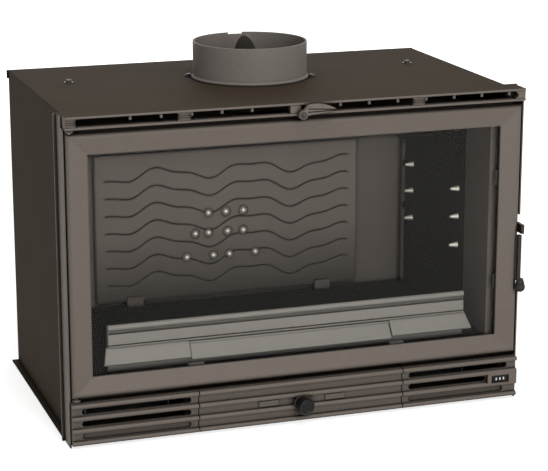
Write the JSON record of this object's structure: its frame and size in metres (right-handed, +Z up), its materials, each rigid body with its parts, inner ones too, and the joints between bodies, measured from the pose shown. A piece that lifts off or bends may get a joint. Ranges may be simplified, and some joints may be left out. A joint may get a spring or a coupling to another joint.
{
  "type": "fireplace_insert",
  "caption": "Wood-burning fireplace insert with a glazed door, ash drawer, flue damper, air control and warm-air blowers",
  "frame": {"origin": "underside of the base plate, straight below the axis of the flue collar", "axes": "+X to the right seen from the front (the overall width, the longest extent), +Y to the back, +Z up along the flue"},
  "size_m": [0.7666, 0.482, 0.5855],
  "materials": {
    "front_paint": "heat-proof grey-brown metallic paint on cast iron",
    "casing_paint": "dark brown heat-proof paint on sheet steel",
    "firebox_paint": "grey-brown heat-proof paint on firebox plates",
    "damper_iron": "painted cast iron",
    "grate_iron": "bare dark cast iron",
    "guard_paint": "light grey-brown heat-proof paint on cast iron",
    "zinc_steel": "zinc-plated steel",
    "galvanised_sheet": "galvanised sheet steel",
    "ash_pan_steel": "plain sheet steel",
    "steel_rod": "turned steel bar",
    "bright_steel": "polished stainless steel",
    "black_plastic": "black heat-proof phenolic plastic",
    "black_rubber": "black rubber",
    "ceramic_glass": "clear glass-ceramic",
    "rope_seal": "dark graphite glass-fibre rope",
    "fan_aluminium": "pressed aluminium",
    "motor_black": "black enamel on the motor's case"
  },
  "bodies": {
    "cabinet": {"base_plate": "casing_paint", "left_side_panel": "casing_paint", "right_side_panel": "casing_paint", "rear_panel": "casing_paint", "top_plate": "casing_paint", "rear_screws": "zinc_steel", "cable_gland": "black_rubber", "top_fittings": "zinc_steel", "front_frame": "front_paint", "top_grille": "front_paint", "left_grille": "front_paint", "right_grille": "front_paint", "switch_housing": "black_plastic", "ash_box": "galvanised_sheet", "firebox_floor": "firebox_paint", "left_firebox_wall": "firebox_paint", "right_firebox_wall": "firebox_paint", "firebox_rear_wall": "firebox_paint", "firebox_roof": "firebox_paint", "firebox_legs": "galvanised_sheet", "baffle_plate": "grate_iron", "fireback": "firebox_paint", "fireback_clips": "firebox_paint", "rear_nozzles": "bright_steel", "side_nozzles": "bright_steel", "left_corner_strip": "firebox_paint", "right_corner_strip": "firebox_paint", "flue_collar": "damper_iron", "collar_screws": "zinc_steel", "upper_hinge_bracket": "front_paint", "lower_hinge_bracket": "front_paint", "upper_hinge_pin": "steel_rod", "lower_hinge_pin": "steel_rod", "latch_keeper": "steel_rod", "left_fan_housing": "galvanised_sheet", "left_fan_motor": "motor_black", "right_fan_housing": "galvanised_sheet", "right_fan_motor": "motor_black"},
    "door": {"door_frame": "front_paint", "door_glass": "ceramic_glass", "glass_seal": "rope_seal", "glass_clips": "zinc_steel", "glass_screws": "zinc_steel", "door_seal": "rope_seal"},
    "handle": {"handle_shaft": "steel_rod", "handle_lever": "front_paint", "handle_grip": "front_paint"},
    "ash_drawer": {"centre_panel": "front_paint", "ash_pan": "ash_pan_steel"},
    "air_control": {"air_shaft": "steel_rod", "air_knob": "black_plastic", "air_disc": "ash_pan_steel"},
    "damper": {"damper_shaft": "damper_iron", "damper_flap": "damper_iron", "damper_lever": "front_paint"},
    "fan_switch": {"switch_rocker": "black_plastic"},
    "left_fan": {"left_fan_impeller": "fan_aluminium"},
    "right_fan": {"right_fan_impeller": "fan_aluminium"},
    "grate_plate": {"grate": "grate_iron"},
    "guard_rail": {"log_guard": "guard_paint"}
  },
  "joints": [
    {"name": "door_swing", "type": "hinge", "parent": "cabinet", "child": "door", "pos_m": [-0.366, -0.256, 0.287], "axis": [0, 0, -1], "range_deg": [0, 100]},
    {"name": "handle_lift", "type": "hinge", "parent": "door", "child": "handle", "pos_m": [0.37, -0.252, 0.29], "axis": [-1, 0, 0], "range_deg": [0, 75]},
    {"name": "ash_drawer_slide", "type": "slide", "parent": "cabinet", "child": "ash_drawer", "axis": [0, -1, 0], "range_m": [0, 0.22]},
    {"name": "air_control_turn", "type": "hinge", "parent": "ash_drawer", "child": "air_control", "pos_m": [0, -0.28, 0.034], "axis": [0, -1, 0], "range_deg": [0, 90]},
    {"name": "damper_turn", "type": "hinge", "parent": "cabinet", "child": "damper", "pos_m": [-0.004, 0, 0.504], "axis": [0, -1, 0], "range_deg": [0, 90]},
    {"name": "fan_switch_tilt", "type": "hinge", "parent": "cabinet", "child": "fan_switch", "pos_m": [0.3455, -0.2625, 0.0375], "axis": [0, 0, 1], "range_deg": [-12, 12]},
    {"name": "left_fan_spin", "type": "hinge", "parent": "cabinet", "child": "left_fan", "pos_m": [-0.26, -0.115, 0.0475], "axis": [1, 0, 0], "continuous": true},
    {"name": "right_fan_spin", "type": "hinge", "parent": "cabinet", "child": "right_fan", "pos_m": [0.26, -0.115, 0.0475], "axis": [1, 0, 0], "continuous": true},
    {"name": "grate_lift", "type": "slide", "parent": "cabinet", "child": "grate_plate", "axis": [0, 0, 1], "range_m": [0, 0.12]},
    {"name": "guard_lift", "type": "slide", "parent": "cabinet", "child": "guard_rail", "axis": [0, 0, 1], "range_m": [0, 0.1]}
  ]
}
